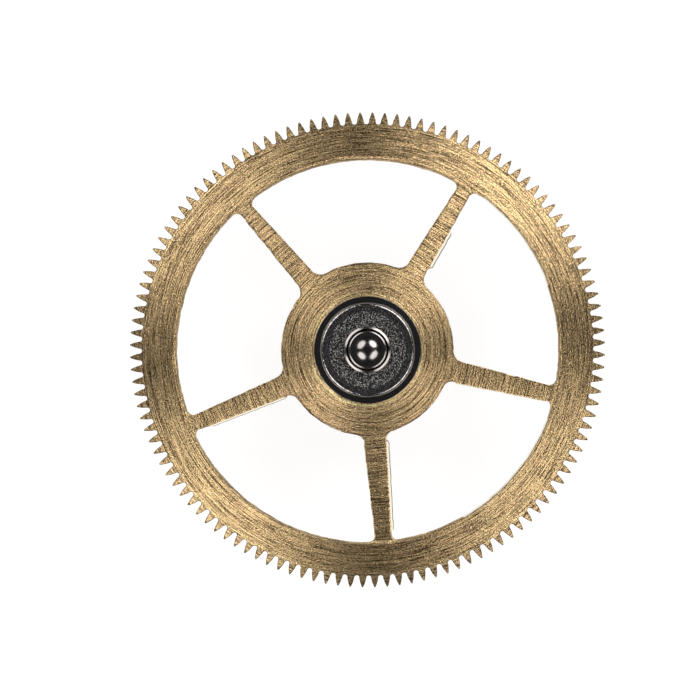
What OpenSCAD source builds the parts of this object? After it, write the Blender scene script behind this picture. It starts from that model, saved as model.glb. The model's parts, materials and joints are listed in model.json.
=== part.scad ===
// Centre wheel of a watch: a crossed-out brass wheel riveted to a hollow steel pinion, which sits
// friction-tight on a steel staff. All sizes are in millimetres. The axis is Z, the origin lies on
// the axis at mid-thickness of the brass wheel, and +Z points to the domed upper pivot.

/* [Wheel teeth] */
// Number of teeth on the brass wheel
wheel_teeth = 120; // [60:1:160]
// Module of the wheel teeth
wheel_module = 0.08; // [0.06:0.005:0.12]
// Height of a tooth above the pitch circle
tooth_addendum = 0.125; // [0.08:0.005:0.13]
// Depth of a gap below the pitch circle
tooth_dedendum = 0.122; // [0.1:0.002:0.15]
// Width of a tooth where its curved side starts
tooth_w = 0.14; // [0.1:0.005:0.15]
// Width of the rounded tooth tip
tooth_tip_w = 0.042; // [0.02:0.002:0.05]
// Bulge of a tooth's curved side beyond its chord
tooth_bulge = 0.004; // [0.001:0.001:0.01]

/* [Wheel plate] */
// Thickness of the brass plate
plate_t = 0.25; // [0.15:0.01:0.5]
// Width of the rim from the tooth gaps to the windows
rim_w = 0.7; // [0.4:0.02:1.2]
// Width of the hub ring from the pinion seat to the windows
hub_w = 0.68; // [0.3:0.01:0.9]
// Number of spokes
spokes = 5; // [3:1:6]
// Width of a spoke where it leaves the hub
spoke_hub_w = 0.475; // [0.35:0.005:0.7]
// Width of a spoke where it meets the rim
spoke_rim_w = 0.34; // [0.25:0.005:0.45]
// Radius of the window corners at the hub
hub_fillet = 0.2; // [0.05:0.01:0.25]
// Radius of the window corners at the rim
rim_fillet = 0.13; // [0.05:0.01:0.25]

/* [Pinion] */
// Number of pinion leaves
leaves = 14; // [12:1:18]
// Module of the pinion leaves
leaf_module = 0.16; // [0.14:0.005:0.2]
// Height of a leaf above the pitch circle
leaf_addendum = 0.105; // [0.08:0.005:0.12]
// Depth of a leaf gap below the pitch circle
leaf_dedendum = 0.29; // [0.2:0.01:0.32]
// Width of a leaf at the pitch circle
leaf_w = 0.2; // [0.16:0.005:0.23]
// Length of the leaves along the axis
leaf_len = 1.4; // [0.8:0.05:2.5]
// Chamfer on the ends of the leaves and on the flange
leaf_chamfer = 0.04; // [0.01:0.01:0.08]
// Radius of the seat that the wheel is riveted to
seat_r = 1.11; // [0.9:0.01:1.3]
// Width of the flange that the wheel rests on, beyond the seat
flange_w = 0.25; // [0.1:0.01:0.4]
// Thickness of that flange
flange_t = 0.16; // [0.1:0.01:0.4]
// Width of the rivet ring around the boss
rivet_w = 0.13; // [0.08:0.005:0.16]
// Height of the rivet ring above the plate
rivet_h = 0.03; // [0.01:0.005:0.06]
// Height of the boss above the rivet ring
boss_h = 0.15; // [0.08:0.01:0.4]
// Chamfer on the edge of the boss
boss_chamfer = 0.035; // [0.01:0.005:0.06]
// Width of the boss's raised lip
lip_w = 0.13; // [0.08:0.01:0.2]
// Depth of the grained face inside that lip
lip_h = 0.015; // [0.005:0.005:0.04]
// Width of the shallow countersink where the pinion's bore opens in that face
mouth_w = 0.075; // [0.02:0.005:0.1]
// Depth of that countersink
mouth_h = 0.03; // [0.01:0.005:0.06]
// Height of the small foot below the leaves
foot_h = 0.1; // [0.06:0.01:0.3]

/* [Staff] */
// Radius of the staff's tapered shank at its upper end, under the pivot
shank_r = 0.4; // [0.3:0.01:0.45]
// Growth of the shank's radius for each millimetre down towards the collar
shank_taper = 0.02; // [0.01:0.005:0.04]
// Running clearance between the staff and the pinion's bore
slip_gap = 0.02; // [0.01:0.005:0.05]
// Length of each of the two lands that grip in the bore
land_len = 0.5; // [0.2:0.05:0.8]
// Depth of the waist between the lands
waist_d = 0.03; // [0.01:0.005:0.06]
// Radius of the upper pivot
upper_pivot_r = 0.385; // [0.25:0.005:0.39]
// Height of the upper pivot's cylinder above the boss
upper_pivot_len = 0.4; // [0.2:0.05:0.8]
// Chamfer on the end of that pivot
dome_chamfer = 0.014; // [0.005:0.001:0.03]
// Width of the narrow land between that chamfer and the dome
dome_land = 0.012; // [0.004:0.002:0.03]
// Radius of the ball that the pivot's end is domed to
dome_ball_r = 0.6; // [0.45:0.01:0.9]
// Width of the collar that carries the pinion, beyond the lower pivot
collar_w = 0.18; // [0.1:0.01:0.25]
// Thickness of that collar
collar_t = 0.14; // [0.1:0.01:0.4]
// End clearance between the collar and the pinion
end_gap = 0.01; // [0.005:0.005:0.03]
// Radius of the lower pivot
lower_pivot_r = 0.6; // [0.58:0.01:0.7]
// Length of the lower pivot
lower_pivot_len = 0.6; // [0.3:0.05:1.2]
// Undercut and chamfer at the ends of the lower pivot
relief = 0.03; // [0.01:0.005:0.04]
// Radius of the post that a cannon pinion is driven onto
post_r = 0.42; // [0.35:0.01:0.43]
// Length of that post
post_len = 1.75; // [1.4:0.05:3]
// Rounding at the tip of the post
post_round = 0.12; // [0.05:0.01:0.2]

/* [Hidden] */
$fn = 96;

// Brass wheel
pitch_r = wheel_teeth * wheel_module / 2;
tip_r = pitch_r + tooth_addendum;
root_r = pitch_r - tooth_dedendum;
rim_r = root_r - rim_w;
hub_r = seat_r + hub_w;
tooth_angle = 360 / wheel_teeth;
plate_top = plate_t / 2;
plate_bottom = -plate_t / 2;

// Hollow pinion, from its boss down to its foot
leaf_pitch_r = leaves * leaf_module / 2;
leaf_root_r = leaf_pitch_r - leaf_dedendum;
leaf_tip_r = leaf_pitch_r + leaf_addendum;
leaf_angle = 360 / leaves;
flange_r = seat_r + flange_w;
boss_r = seat_r - rivet_w;
bore_r = shank_r + slip_gap;
collar_r = lower_pivot_r + collar_w;
rivet_top = plate_top + rivet_h;
boss_top = rivet_top + boss_h;
face_z = boss_top - lip_h;
mouth_z = face_z - mouth_h;
flange_bottom = plate_bottom - flange_t;
leaf_bottom = flange_bottom - leaf_len;
foot_bottom = leaf_bottom - foot_h;

// Staff, from its dome down to the tip of the post
pivot_end_z = boss_top + upper_pivot_len + dome_chamfer;
dome_r = upper_pivot_r - dome_chamfer - dome_land;
dome_centre_z = pivot_end_z - sqrt(dome_ball_r * dome_ball_r - dome_r * dome_r);
collar_top = foot_bottom - end_gap;
collar_bottom = collar_top - collar_t;
lower_pivot_bottom = collar_bottom - lower_pivot_len;
post_bottom = lower_pivot_bottom - post_len;

// Radius of the staff's shank at a height; the pinion's bore tapers with it
function shank_at(z) = shank_r + shank_taper * (mouth_z - z);

// A point at a distance and an angle from the axis
function polar(r, a) = [r * cos(a), r * sin(a)];

// Points along an arc about a centre, both ends included
function arc(centre, r, from, to, steps) =
    [for (i = [0:steps]) centre + polar(r, from + (to - from) * i / steps)];

// Points from one end of a chord towards the other, bowed out to the right; the far end is left out
function bowed(from, to, bulge, steps) =
    let (span = to - from,
         out = [span[1], -span[0]] / norm(span))
    [for (i = [0:steps - 1])
        let (t = i / steps) from + span * t + out * bulge * 4 * t * (1 - t)];

// Points without the first and the last
function inner(points) = [for (i = [1:len(points) - 2]) points[i]];

// The same outline as seen in a mirror along X, run backwards so that it joins up
function mirrored(points) =
    [for (i = [len(points) - 1:-1:0]) [points[i][0], -points[i][1]]];

// Points turned about the axis
function turned(points, a) =
    [for (p = points) [p[0] * cos(a) - p[1] * sin(a), p[0] * sin(a) + p[1] * cos(a)]];

// One wheel tooth about +X, from the bottom of one gap to just before the bottom of the next. A gap
// ends in a full round, a slightly bowed side rises from it, and the tip is a small arc.
gap_round = (PI * 2 * root_r / wheel_teeth - tooth_w) / 2;
gap_centre_r = root_r + gap_round;
tip_round = tooth_tip_w / 2;
flank_rise = gap_round / 3;
gap_arc = [140, 95];
function tooth_side() = concat(
    turned(arc([gap_centre_r, 0], gap_round, gap_arc[0], gap_arc[1], 1), -tooth_angle / 2),
    bowed([gap_centre_r + flank_rise, -tooth_w / 2], [tip_r - tip_round, -tip_round],
        tooth_bulge, 2),
    arc([tip_r - tip_round, 0], tip_round, -90, -40, 1));
function tooth() = concat(
    [polar(root_r, -tooth_angle / 2)], tooth_side(), [[tip_r, 0]], mirrored(tooth_side()));

// One pinion leaf about +X, in the same order: a filleted root, a radial side and a round top
leaf_root_w = leaf_w * leaf_root_r / leaf_pitch_r;
leaf_fillet = leaf_root_w / 3;
leaf_round = leaf_w / 2;
function leaf_side() = concat(
    arc([leaf_root_r + leaf_fillet, -leaf_root_w / 2 - leaf_fillet], leaf_fillet, 180, 90, 3),
    arc([leaf_tip_r - leaf_round, 0], leaf_round, -90, -18, 4));
function leaf() = concat(
    [polar(leaf_root_r, -leaf_angle / 2)], leaf_side(), [[leaf_tip_r, 0]], mirrored(leaf_side()));

// Slope of a spoke's side, and how far the line along that side passes from the axis
spoke_slope = atan2((spoke_rim_w - spoke_hub_w) / 2, rim_r - hub_r);
side_offset = spoke_hub_w / 2 * cos(spoke_slope) - hub_r * sin(spoke_slope);

// Centre of a window's corner fillet above a spoke along +X. It lies one fillet radius off the
// spoke's side, and reach is its distance from the axis.
function corner_centre(reach, fillet) =
    let (off = side_offset + fillet)
    turned([[sqrt(reach * reach - off * off), off]], spoke_slope)[0];

// One window about +X: round the hub, out along the spoke below it, round the rim and back
half_window = 180 / spokes;
function window() =
    let (at_hub = corner_centre(hub_r + hub_fillet, hub_fillet),
         at_rim = corner_centre(rim_r - rim_fillet, rim_fillet),
         hub_angle = atan2(at_hub[1], at_hub[0]),
         rim_angle = atan2(at_rim[1], at_rim[0]),
         side = turned(concat(
             arc(at_hub, hub_fillet, hub_angle + 180, spoke_slope + 270, 6),
             arc(at_rim, rim_fillet, spoke_slope - 90, rim_angle, 6)), -half_window))
    concat(
        inner(arc([0, 0], hub_r, half_window - hub_angle, hub_angle - half_window, 12)),
        side,
        inner(arc([0, 0], rim_r, rim_angle - half_window, half_window - rim_angle, 20)),
        mirrored(side));

module wheel_plate() {
    color("darkgoldenrod")
    translate([0, 0, plate_bottom])
    linear_extrude(plate_t)
    difference() {
        polygon([for (i = [0:wheel_teeth - 1]) each turned(tooth(), i * tooth_angle)]);
        for (i = [0:spokes - 1])
            rotate((i + 0.5) * 360 / spokes)
                polygon(window());
        circle(seat_r);
    }
}

// The pinion's body as it is turned, before the leaves are added and the bore is drilled
module pinion_body() {
    rotate_extrude()
    polygon([
        [0, foot_bottom],
        [collar_r, foot_bottom],
        [collar_r, leaf_bottom + leaf_chamfer],
        [leaf_root_r, leaf_bottom + leaf_chamfer],
        [leaf_root_r, flange_bottom],
        [flange_r - leaf_chamfer, flange_bottom],
        [flange_r, flange_bottom + leaf_chamfer],
        [flange_r, plate_bottom],
        [seat_r, plate_bottom],
        [seat_r, plate_top],
        [boss_r, rivet_top],
        [boss_r, boss_top - boss_chamfer],
        [boss_r - boss_chamfer, boss_top],
        [boss_r - lip_w, boss_top],
        [boss_r - lip_w - lip_h, face_z],
        [0, face_z]
    ]);
}

// The leaves, with their lower ends turned to a chamfer
module pinion_leaves() {
    intersection() {
        translate([0, 0, leaf_bottom])
        linear_extrude(leaf_len)
        polygon([for (i = [0:leaves - 1]) each turned(leaf(), i * leaf_angle)]);
        rotate_extrude()
        polygon([
            [0, leaf_bottom],
            [leaf_tip_r - leaf_chamfer, leaf_bottom],
            [leaf_tip_r + leaf_chamfer, leaf_bottom + 2 * leaf_chamfer],
            [leaf_tip_r + leaf_chamfer, flange_bottom],
            [0, flange_bottom]
        ]);
    }
}

// The bore that the staff passes through, opened out at both mouths and a little longer than the
// pinion, so that it cuts clean through
module pinion_bore() {
    foot_chamfer = collar_w / 4;
    foot_bore_r = shank_at(foot_bottom) + slip_gap;
    rotate_extrude()
    polygon([
        [0, foot_bottom - end_gap],
        [foot_bore_r + foot_chamfer, foot_bottom - end_gap],
        [foot_bore_r + foot_chamfer, foot_bottom],
        [shank_at(foot_bottom + foot_chamfer) + slip_gap, foot_bottom + foot_chamfer],
        [bore_r, mouth_z],
        [bore_r + mouth_w, face_z],
        [bore_r + mouth_w, boss_top],
        [0, boss_top]
    ]);
}

module centre_pinion() {
    color("dimgray")
    difference() {
        union() {
            pinion_body();
            pinion_leaves();
        }
        pinion_bore();
    }
}

// The staff as it is turned from one bar, in one profile from the tip of the post to the end of the
// upper pivot. Its tapered shank grips the pinion at two lands, with a waist between them.
module staff_body() {
    lower_land = collar_top + land_len;
    upper_land = face_z - land_len;
    rotate_extrude()
    polygon(concat(
        [[0, post_bottom]],
        arc([post_r - post_round, post_bottom + post_round], post_round, -90, 0, 6),
        [
            [post_r, lower_pivot_bottom],
            [lower_pivot_r - relief, lower_pivot_bottom],
            [lower_pivot_r, lower_pivot_bottom + relief],
            [lower_pivot_r, collar_bottom - relief],
            [lower_pivot_r - relief, collar_bottom],
            [collar_r - relief, collar_bottom],
            [collar_r, collar_bottom + relief],
            [collar_r, collar_top],
            [shank_at(collar_top), collar_top],
            [shank_at(lower_land), lower_land],
            [shank_at(lower_land + waist_d) - waist_d, lower_land + waist_d],
            [shank_at(upper_land - waist_d) - waist_d, upper_land - waist_d],
            [shank_at(upper_land), upper_land],
            [shank_r, mouth_z],
            [upper_pivot_r, face_z],
            [upper_pivot_r, pivot_end_z - dome_chamfer],
            [upper_pivot_r - dome_chamfer, pivot_end_z],
            [0, pivot_end_z]
        ]));
}

// The burnished dome on the end of the upper pivot, the cap of a ball
module pivot_dome() {
    intersection() {
        translate([0, 0, dome_centre_z])
            sphere(dome_ball_r);
        translate([0, 0, pivot_end_z - dome_chamfer])
            cylinder(r = upper_pivot_r, h = dome_ball_r);
    }
}

module centre_staff() {
    color("slategray")
    union() {
        staff_body();
        pivot_dome();
    }
}

wheel_plate();
centre_pinion();
centre_staff();
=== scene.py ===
# %% [markdown]
# # Centre wheel of a watch
# The centre wheel turns once an hour in the middle of a watch. It is three pieces of metal: a brass
# wheel with spokes, the hollow steel pinion that the wheel is riveted to, and a steel staff that
# grips inside the pinion and carries the minute hand. The exact solids are already packed, so the
# script starts by loading them as a fixed frame, and every piece made here takes its place from it.

import json

import bpy
import numpy as np
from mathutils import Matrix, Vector
from mathutils.geometry import delaunay_2d_cdt

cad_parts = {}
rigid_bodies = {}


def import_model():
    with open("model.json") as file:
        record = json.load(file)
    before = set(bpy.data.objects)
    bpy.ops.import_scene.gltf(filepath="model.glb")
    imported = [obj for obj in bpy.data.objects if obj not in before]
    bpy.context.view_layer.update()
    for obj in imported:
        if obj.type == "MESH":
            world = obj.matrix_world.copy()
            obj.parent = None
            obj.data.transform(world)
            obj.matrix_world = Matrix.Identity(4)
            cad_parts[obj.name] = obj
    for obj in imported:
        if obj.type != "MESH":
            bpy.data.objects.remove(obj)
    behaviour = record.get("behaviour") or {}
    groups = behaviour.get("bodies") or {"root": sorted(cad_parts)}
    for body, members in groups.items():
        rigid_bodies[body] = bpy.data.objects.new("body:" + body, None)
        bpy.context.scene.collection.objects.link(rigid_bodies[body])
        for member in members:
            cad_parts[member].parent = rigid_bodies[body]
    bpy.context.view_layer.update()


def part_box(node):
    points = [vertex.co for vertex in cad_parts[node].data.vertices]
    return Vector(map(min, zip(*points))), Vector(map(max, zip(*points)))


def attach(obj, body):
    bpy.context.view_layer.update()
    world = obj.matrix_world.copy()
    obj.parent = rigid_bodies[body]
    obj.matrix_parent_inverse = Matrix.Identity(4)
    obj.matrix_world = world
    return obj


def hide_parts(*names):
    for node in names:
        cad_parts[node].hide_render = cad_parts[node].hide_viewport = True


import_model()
MM = 0.001


def in_mm(place):
    """A place in millimetres, rounded for print."""
    return [round(x / MM, 3) for x in place]


# %% [markdown]
# The frame's mesh is made for simulation, and at this size its curves have few facets. A watch part
# is looked at under a lens, where each facet would show as a flat flash. So all three pieces are
# made again here as finer surfaces, from the same sizes that the solids have. The sizes are in
# millimetres, as on a watchmaker's drawing.

# %% Sizes of the brass wheel
TEETH = 120
TOOTH_ANGLE = 360 / TEETH
TIP_R = 4.925
ROOT_R = 4.678
TOOTH_W = 0.14
TOOTH_TIP_W = 0.042
TOOTH_BULGE = 0.004
PLATE_T = 0.25
RIM_R = 3.978
HUB_R = 1.79
SEAT_R = 1.11
SPOKES = 5
SPOKE_HUB_W = 0.475
SPOKE_RIM_W = 0.34
HUB_FILLET = 0.2
RIM_FILLET = 0.13
PLATE_TOP = PLATE_T / 2
print("wheel:", TEETH, "teeth, tip diameter", 2 * TIP_R, "mm, plate", PLATE_T, "mm thick")

# %% [markdown]
# ## Outlines
# A wheel, a leaf and a window are all flat outlines. Such an outline could be drawn by hand as a
# curve, but a gear's outline follows rules, so here it is worked out: arcs, one bowed line, and
# copies turned about the axis. Each helper takes and gives whole arrays of points.


# %% Helpers for outlines
def polar(radius, degrees):
    """Points at a distance and an angle from the axis: (r cos a, r sin a)."""
    angle = np.radians(degrees)
    return np.stack([radius * np.cos(angle), radius * np.sin(angle)], axis=-1)


def arc(centre, radius, start, end, steps):
    """An arc: its centre plus polar points whose angle goes evenly from start to end."""
    return np.asarray(centre) + polar(radius, np.linspace(start, end, steps + 1))


def turned(points, degrees):
    """Points turned about the axis: (x cos a - y sin a, x sin a + y cos a)."""
    cos, sin = polar(1, degrees)
    return points @ np.array([[cos, sin], [-sin, cos]])


def mirrored(points):
    """The same outline with y negative, run backwards, so that the two halves join up."""
    return points[::-1] * [1, -1]


def around(points, copies):
    """Copies set evenly round the axis. Each point is a complex number, and one table of unit
    numbers, exp(2 pi i k / copies), turns it into every copy at once."""
    spin = np.exp(2j * np.pi * np.arange(copies) / copies)
    every = (spin[:, None] * (points[:, 0] + 1j * points[:, 1])).ravel()
    return np.column_stack([every.real, every.imag])


print("a quarter turn takes (1, 0) to", turned(np.array([1.0, 0.0]), 90).round(6).tolist())

# %% [markdown]
# ## The toothed edge
# On the real wheel a fly cutter with the shape of the gap cuts one gap after another. A gap ends in
# a full round, a slightly bowed side rises from it, and the tooth ends in a small round tip. An
# Array modifier could repeat one tooth, but its seams would need merging. So one half of a tooth is
# worked out, mirrored, and set round the axis 120 times.

# %% Outline of the teeth
GAP_END = 95
GAP_STEPS = 7
BOW_STEPS = 8
TIP_STEPS = 6


def bowed(start, end, bulge, steps):
    """A chord bowed out to its right by a parabola: start + span t + out * bulge * 4 t (1 - t)."""
    start, span = np.array(start), np.array(end) - np.array(start)
    out = np.array([span[1], -span[0]]) / np.linalg.norm(span)
    t = np.linspace(0, 1, steps + 1)[:-1, None]
    return start + span * t + out * bulge * 4 * t * (1 - t)


def tooth():
    """One tooth about +X, from the bottom of one gap to just before the bottom of the next. Its
    side starts a third of the gap's round further out than the middle of that round."""
    gap_round = (2 * np.pi * ROOT_R / TEETH - TOOTH_W) / 2
    gap_centre = ROOT_R + gap_round
    tip_round = TOOTH_TIP_W / 2
    side_start = [gap_centre + gap_round / 3, -TOOTH_W / 2]
    half = np.concatenate([
        turned(arc([gap_centre, 0], gap_round, 180, GAP_END, GAP_STEPS), -TOOTH_ANGLE / 2),
        bowed(side_start, [TIP_R - tip_round, -tip_round], TOOTH_BULGE, BOW_STEPS),
        arc([TIP_R - tip_round, 0], tip_round, -90, 0, TIP_STEPS),
    ])
    return np.concatenate([half, mirrored(half)[1:-1]])


toothed_edge = around(tooth(), TEETH)
print("toothed edge:", len(toothed_edge), "points,", len(tooth()), "for each tooth")

# %% [markdown]
# ## The windows
# The five windows are punched or sawn out, and their edges are then cleaned with a file. The sides
# of a spoke are straight and taper towards the rim, and each corner is a fillet that touches both
# the spoke and the round of the hub or the rim. Bevel could round the corners, but only a fillet
# that is worked out touches both exactly. One window is made as on the drawing.

# %% Outline of a window
CORNER_STEPS = 14
SPOKE_STEPS = 39
HUB_STEPS = 40
RIM_STEPS = 90
spoke_slope = np.degrees(np.arctan2((SPOKE_RIM_W - SPOKE_HUB_W) / 2, RIM_R - HUB_R))
side_offset = SPOKE_HUB_W / 2 * polar(1, spoke_slope)[0] - HUB_R * polar(1, spoke_slope)[1]


def corner(reach, fillet):
    """Centre of a corner fillet over a spoke along +X, one fillet radius off the spoke's side: the
    side's line is at side_offset from the axis, so the centre is at the root of reach^2 - off^2."""
    off = side_offset + fillet
    return turned(np.array([np.sqrt(reach**2 - off**2), off]), spoke_slope)


def window():
    """One window about +X, round the hub, out along a spoke, round the rim and back."""
    half = 180 / SPOKES
    at_hub, at_rim = corner(HUB_R + HUB_FILLET, HUB_FILLET), corner(RIM_R - RIM_FILLET, RIM_FILLET)
    hub_angle, rim_angle = np.degrees(np.arctan2([at_hub[1], at_rim[1]], [at_hub[0], at_rim[0]]))
    hub_corner = arc(at_hub, HUB_FILLET, hub_angle + 180, spoke_slope + 270, CORNER_STEPS)
    rim_corner = arc(at_rim, RIM_FILLET, spoke_slope - 90, rim_angle, CORNER_STEPS)
    share = np.linspace(0, 1, SPOKE_STEPS + 1)[1:-1, None]
    straight = hub_corner[-1] * (1 - share) + rim_corner[0] * share
    side = turned(np.concatenate([hub_corner, straight, rim_corner]), -half)
    return np.concatenate([
        arc([0, 0], HUB_R, half - hub_angle, hub_angle - half, HUB_STEPS)[1:-1],
        side,
        arc([0, 0], RIM_R, rim_angle - half, half - rim_angle, RIM_STEPS)[1:-1],
        mirrored(side),
    ])


drawn_window = window()[::-1]
print("window:", len(drawn_window), "points, spoke side sloped", round(float(spoke_slope), 2), "degrees")

# %% [markdown]
# ## Filed by hand
# A file leaves no window quite as drawn. Each side of each one is up to a few hundredths of a
# millimetre off, and the edge between is never quite true. The five windows could be drawn one by
# one, but then nobody could tell the drawing from the handwork. So the drawn window is moved along
# its own normals: by one amount for each of its four sides, and by a small waver of seeded noise.

# %% Helpers for filed edges
WAVES = 60
NOISE_STEPS = 1024
SIDES_MEET = 15


def left_of(loop):
    """Unit vectors to the left of a closed loop's travel, from each point's two neighbours."""
    along = np.roll(loop, -1, 0) - np.roll(loop, 1, 0)
    return np.column_stack([-along[:, 1], along[:, 0]]) / np.linalg.norm(along, axis=1, keepdims=True)


def wavered(loop, size, seed):
    """A loop moved to and fro by seeded noise. The noise goes through a Fourier transform, its waves
    of more than about WAVES to a round are faded out, the rest is scaled to the size, and each point
    takes its own at its length along the loop."""
    spectrum = np.fft.rfft(np.random.default_rng(seed).normal(size=NOISE_STEPS))
    noise = np.fft.irfft(spectrum * np.exp(-(np.arange(len(spectrum)) / WAVES) ** 2), NOISE_STEPS)
    along = np.cumsum(np.linalg.norm(np.roll(loop, -1, 0) - loop, axis=1))
    own = np.interp(along / along[-1] * (NOISE_STEPS - 1), np.arange(NOISE_STEPS), noise)
    return loop + left_of(loop) * (size * own / np.abs(noise).max())[:, None]


def off_true(loop, hub, rim, before, after):
    """A window about +X with its four sides filed that far into the metal. A side's share of a point
    is 1 on that side and fades over the corner's fillet. Before and after are the two spokes' sides:
    the first holds below -SIDES_MEET degrees, the second above SIDES_MEET."""
    radius = np.linalg.norm(loop, axis=1)
    azimuth = np.degrees(np.arctan2(loop[:, 1], loop[:, 0]))
    near_hub = np.clip((HUB_R + HUB_FILLET - radius) / HUB_FILLET, 0, 1)
    near_rim = np.clip((radius - RIM_R + RIM_FILLET) / RIM_FILLET, 0, 1)
    side = np.interp(azimuth, [-SIDES_MEET, SIDES_MEET], [before, after])
    move = near_hub * hub + near_rim * rim + (1 - near_hub - near_rim) * side
    return loop + left_of(loop) * move[:, None]


print("normals of the window:", left_of(drawn_window).shape)

# %% File the five windows
WINDOW_WAVER = 0.010
# Four amounts in mm for each window: hub, rim, the side at the spoke before, the one at the next.
FILED_OFF = [
    (0.009, 0.015, 0.025, 0.016),
    (-0.022, -0.013, 0.020, 0.031),
    (0.0, 0.005, 0.012, 0.027),
    (0.014, 0.044, 0.0, -0.004),
    (0.037, 0.036, 0.0, -0.020),
]
windows = [
    wavered(turned(off_true(drawn_window, *sides), (i + 0.5) * 360 / SPOKES), WINDOW_WAVER, seed=i)
    for i, sides in enumerate(FILED_OFF)
]
print(len(windows), "windows, filed into the metal by", np.min(FILED_OFF), "to", np.max(FILED_OFF), "mm")

# %% [markdown]
# ## From outline to metal
# A flat outline could be given a wall with Solidify and its edges rounded with Bevel, but Bevel
# struggles where a radius is close to the size of the tooth tip. Here the wall is a surface of two
# parameters: one runs along the outline, the other down the edge, over a small quarter round, the
# wall and a second quarter round. Metal is always to the left of the outline's travel, so the outer
# loop runs one way and the windows the other.

# %% Helpers for walls
CREASE = 0.001


def edge_levels(top, bottom, edge, steps, margin=0, flatness=1):
    """Inset and height down the wall. A quarter round is edge (1 - sin t) in and edge (1 - cos t)
    down, the latter times a flatness; the lower edge is the same, upside down. A margin adds two more
    lines on each flat face: one at its far side, and one close to the edge, so that the flat face
    shades flat up to there."""
    t = np.linspace(0, np.pi / 2, steps + 1)
    inset, drop = edge * (1 - np.sin(t)), edge * (1 - np.cos(t)) * flatness
    if margin:
        inset, drop = np.append([edge + margin, edge + CREASE], inset), np.append([0, 0], drop)
    return np.concatenate([inset, inset[::-1]]), np.concatenate([top - drop, bottom + drop[::-1]])


def strip(first, rows, columns):
    """Quads between the rows of a grid whose columns close into a ring, numbered from first."""
    grid = first + np.arange(rows * columns).reshape(rows, columns)
    right = np.roll(grid, -1, 1)
    return np.stack([grid[:-1], grid[1:], right[1:], right[:-1]], axis=-1).reshape(-1, 4)


def wall(loop, insets, heights, lean=0):
    """The wall's points: the loop moved left by each inset, at each height, row by row. A lean, one
    for all points or one for each, takes the lower edge that much the other way, out of the metal,
    but the last line stays, so that both flat faces are filled alike."""
    depth = (heights[0] - heights) / (heights[0] - heights[-1])
    depth[-1] = 0
    move = insets[:, None] - np.outer(depth, np.broadcast_to(lean, len(loop)))
    flat = loop[None] + left_of(loop)[None] * move[:, :, None]
    tall = np.broadcast_to(heights[:, None, None], flat.shape[:2] + (1,))
    return np.concatenate([flat, tall], axis=-1)


print("a round of 0.1 mm goes in by", edge_levels(1, 0, 0.1, 2)[0].round(3).tolist(), "mm")


# %% Helper for flat faces
WITH_HULL = 0
CLOSE = 1e-6


def face_up(loops):
    """Triangles that fill a flat face with holes: a Delaunay triangulation that keeps the loops'
    sides. Three points of one loop, taken in its own order, turn left where there is metal between
    them and right where there is none. Ear clipping would be simpler, but it slips on sides that are
    almost straight."""
    counts = np.array([len(loop) for loop in loops])
    first, count = np.repeat(np.cumsum(counts) - counts, counts), np.repeat(counts, counts)
    row, points = np.arange(counts.sum()), np.concatenate(loops)
    sides = np.column_stack([row, first + (row - first + 1) % count]).tolist()
    found = np.array(delaunay_2d_cdt([Vector(p) for p in points], sides, [], WITH_HULL, CLOSE)[2])
    a, b, c = (points[np.sort(found)[:, k]] for k in range(3))
    turn = (b[:, 0] - a[:, 0]) * (c[:, 1] - a[:, 1]) - (b[:, 1] - a[:, 1]) * (c[:, 0] - a[:, 0])
    return found[(np.ptp(first[found], axis=1) > 0) | (turn > 0)]


print("a square is filled with", len(face_up([polar(1, np.arange(0, 360, 90))])), "triangles")


# %% Helpers for meshes
def make_piece(name, points, curved, flat, rim=None):
    """A mesh from points in mm, curved faces that shade smoothly and flat ones that don't, and an
    attribute that marks the points on an edge. Open edges are those without exactly two faces."""
    mesh = bpy.data.meshes.new(name)
    mesh.from_pydata((points * MM).tolist(), [], [f for faces in curved + flat for f in faces.tolist()])
    smooth = np.zeros(len(mesh.polygons), bool)
    smooth[: sum(map(len, curved))] = True
    mesh.polygons.foreach_set("use_smooth", smooth)
    mesh.update()
    if rim is not None:
        mesh.attributes.new("edge", "FLOAT", "POINT").data.foreach_set("value", rim.astype(np.float32))
    piece = bpy.data.objects.new(name, mesh)
    bpy.context.scene.collection.objects.link(piece)
    sides = np.zeros(len(mesh.loops), int)
    mesh.loops.foreach_get("edge_index", sides)
    open_edges = int((np.bincount(sides, minlength=len(mesh.edges)) != 2).sum())
    print(name, "-", len(mesh.polygons), "faces,", open_edges, "open edges")
    return piece


def slab(name, loops, levels, edge_shade):
    """A flat plate: a wall round each loop, by its own levels, and a face above and below that joins
    the walls. Edge shade is a number for each loop, or for each of its points, or for each point of its
    wall: how dark the painted shade on the edge is, with -1 for a wall that is polished."""
    walls = [wall(loop, *level) for loop, level in zip(loops, levels)]
    starts = np.cumsum([0] + [w.shape[0] * w.shape[1] for w in walls])
    curved = [strip(start, *w.shape[:2]) for start, w in zip(starts, walls)]
    lid = face_up([w[0, :, :2] for w in walls])
    top = np.concatenate([start + np.arange(w.shape[1]) for start, w in zip(starts, walls)])
    down = np.concatenate([np.full(w.shape[1], (w.shape[0] - 1) * w.shape[1]) for w in walls])
    points = np.concatenate([w.reshape(-1, 3) for w in walls])
    rim = np.concatenate([np.broadcast_to(mark, w.shape[:2]).ravel() for w, mark in zip(walls, edge_shade)])
    rim[np.concatenate([top, top + down])] = 0
    return make_piece(name, points, curved, [top[lid], (top + down)[lid][:, ::-1]], rim)
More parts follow.
